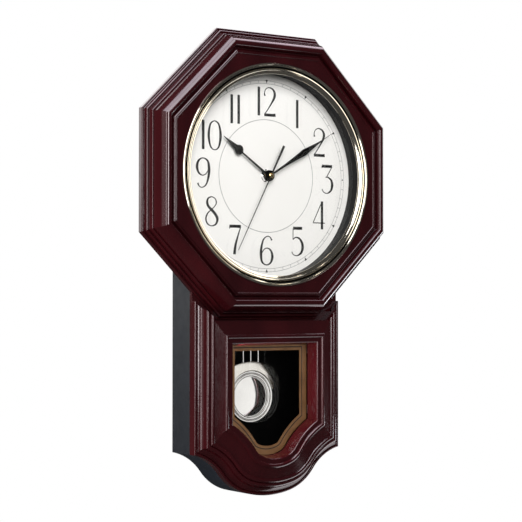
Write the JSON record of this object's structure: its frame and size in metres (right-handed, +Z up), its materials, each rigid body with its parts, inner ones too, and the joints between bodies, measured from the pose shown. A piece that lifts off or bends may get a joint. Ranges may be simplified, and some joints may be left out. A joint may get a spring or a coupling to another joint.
{
  "type": "wall clock",
  "caption": "Octagonal wall clock with a moulded frame, round glazed dial, sweep hands and a glazed drop case where a pendulum swings.",
  "frame": {"origin": "centre of the hanger plate's keyhole entry on the wall plane", "axes": "+Z up, +Y into the wall, front of the clock towards -Y, +X to the right seen from the front"},
  "size_m": [0.33, 0.0726, 0.5312],
  "materials": {
    "mahogany": "polished dark mahogany colour",
    "case_plastic": "matte moulded",
    "board": "plain fibreboard",
    "back_board": "black faced hardboard",
    "bezel_metal": "pale gold plated",
    "clear_glass": "clear",
    "black_plastic": "satin black",
    "dial_face": "satin white print",
    "hand_black": "satin black",
    "steel": "zinc plated",
    "brass": "turned",
    "chrome": "polished plate",
    "satin_chrome": "satin plate",
    "rubber": "plain",
    "copper_wire": "enamelled winding",
    "circuit": "laminate",
    "gear_plastic": "natural acetal",
    "battery_jacket": "plain jacket",
    "magnet": "ferrite"
  },
  "bodies": {
    "case": {"octagon_frame": "mahogany", "drop_frame": "mahogany", "dial_board": "board", "window_glass": "clear_glass", "window_clips": "steel", "window_clip_screws": "steel", "rear_box": "case_plastic", "back_panel": "back_board", "hanger_plate": "steel", "hanger_screws": "steel", "panel_screws": "steel", "board_screws": "steel", "case_screws": "steel", "bezel": "bezel_metal", "dial_glass": "clear_glass", "dial_spacer": "black_plastic", "dial_plate": "dial_face", "movement_front": "black_plastic", "movement_rear": "black_plastic", "dial_nut": "chrome", "dial_washer": "chrome", "rubber_washer": "rubber", "stator": "steel", "motor_coil": "copper_wire", "circuit_board": "circuit", "quartz_crystal": "chrome", "drive_coil": "copper_wire", "battery": "battery_jacket", "battery_contact_plus": "steel", "battery_contact_minus": "steel", "pivot_pin": "steel"},
    "rotor": {"rotor": "magnet"},
    "intermediate": {"intermediate_wheel": "gear_plastic"},
    "second": {"second_wheel": "gear_plastic", "second_hand": "hand_black", "hand_cap": "brass"},
    "third": {"third_wheel": "gear_plastic"},
    "minute": {"minute_wheel": "gear_plastic", "minute_hand": "hand_black"},
    "motion": {"motion_wheel": "gear_plastic"},
    "hour": {"hour_wheel": "gear_plastic", "hour_hand": "hand_black"},
    "knob": {"setting_knob": "black_plastic"},
    "pendulum": {"pendulum_lever": "gear_plastic", "pendulum_magnet": "magnet", "pendulum_yoke": "satin_chrome", "pendulum_rods": "chrome", "pendulum_neck": "satin_chrome", "bob_back": "satin_chrome", "bob_ring": "chrome", "bob_dome": "chrome"}
  },
  "joints": [
    {"name": "second_spin", "type": "hinge", "parent": "case", "child": "second", "pos_m": [0, -0.025, -0.09], "axis": [0, 1, 0], "continuous": true},
    {"name": "rotor_spin", "type": "hinge", "parent": "case", "child": "rotor", "pos_m": [0.01389, -0.025, -0.08468], "axis": [0, 1, 0], "continuous": true},
    {"name": "intermediate_spin", "type": "hinge", "parent": "case", "child": "intermediate", "pos_m": [0.00713, -0.025, -0.08287], "axis": [0, 1, 0], "continuous": true},
    {"name": "third_spin", "type": "hinge", "parent": "case", "child": "third", "pos_m": [-0.00721, -0.025, -0.08279], "axis": [0, 1, 0], "continuous": true},
    {"name": "minute_spin", "type": "hinge", "parent": "case", "child": "minute", "pos_m": [0, -0.025, -0.09], "axis": [0, 1, 0], "continuous": true},
    {"name": "motion_spin", "type": "hinge", "parent": "case", "child": "motion", "pos_m": [-0.00679, -0.025, -0.09679], "axis": [0, 1, 0], "continuous": true},
    {"name": "hour_spin", "type": "hinge", "parent": "case", "child": "hour", "pos_m": [0, -0.025, -0.09], "axis": [0, 1, 0], "continuous": true},
    {"name": "setting_spin", "type": "hinge", "parent": "case", "child": "knob", "pos_m": [-0.00846, -0.025, -0.10624], "axis": [0, 1, 0], "continuous": true},
    {"name": "pendulum_swing", "type": "hinge", "parent": "case", "child": "pendulum", "pos_m": [0, -0.0115, -0.146], "axis": [0, 1, 0], "range_deg": [-8, 8]}
  ],
  "couplings": [
    {"joint": "rotor_spin", "follows": "second_spin", "ratio": 30},
    {"joint": "intermediate_spin", "follows": "second_spin", "ratio": -5},
    {"joint": "third_spin", "follows": "second_spin", "ratio": -0.13333},
    {"joint": "minute_spin", "follows": "second_spin", "ratio": 0.016667},
    {"joint": "motion_spin", "follows": "second_spin", "ratio": -0.0055556},
    {"joint": "hour_spin", "follows": "second_spin", "ratio": 0.0013889},
    {"joint": "setting_spin", "follows": "second_spin", "ratio": 0.016667}
  ]
}
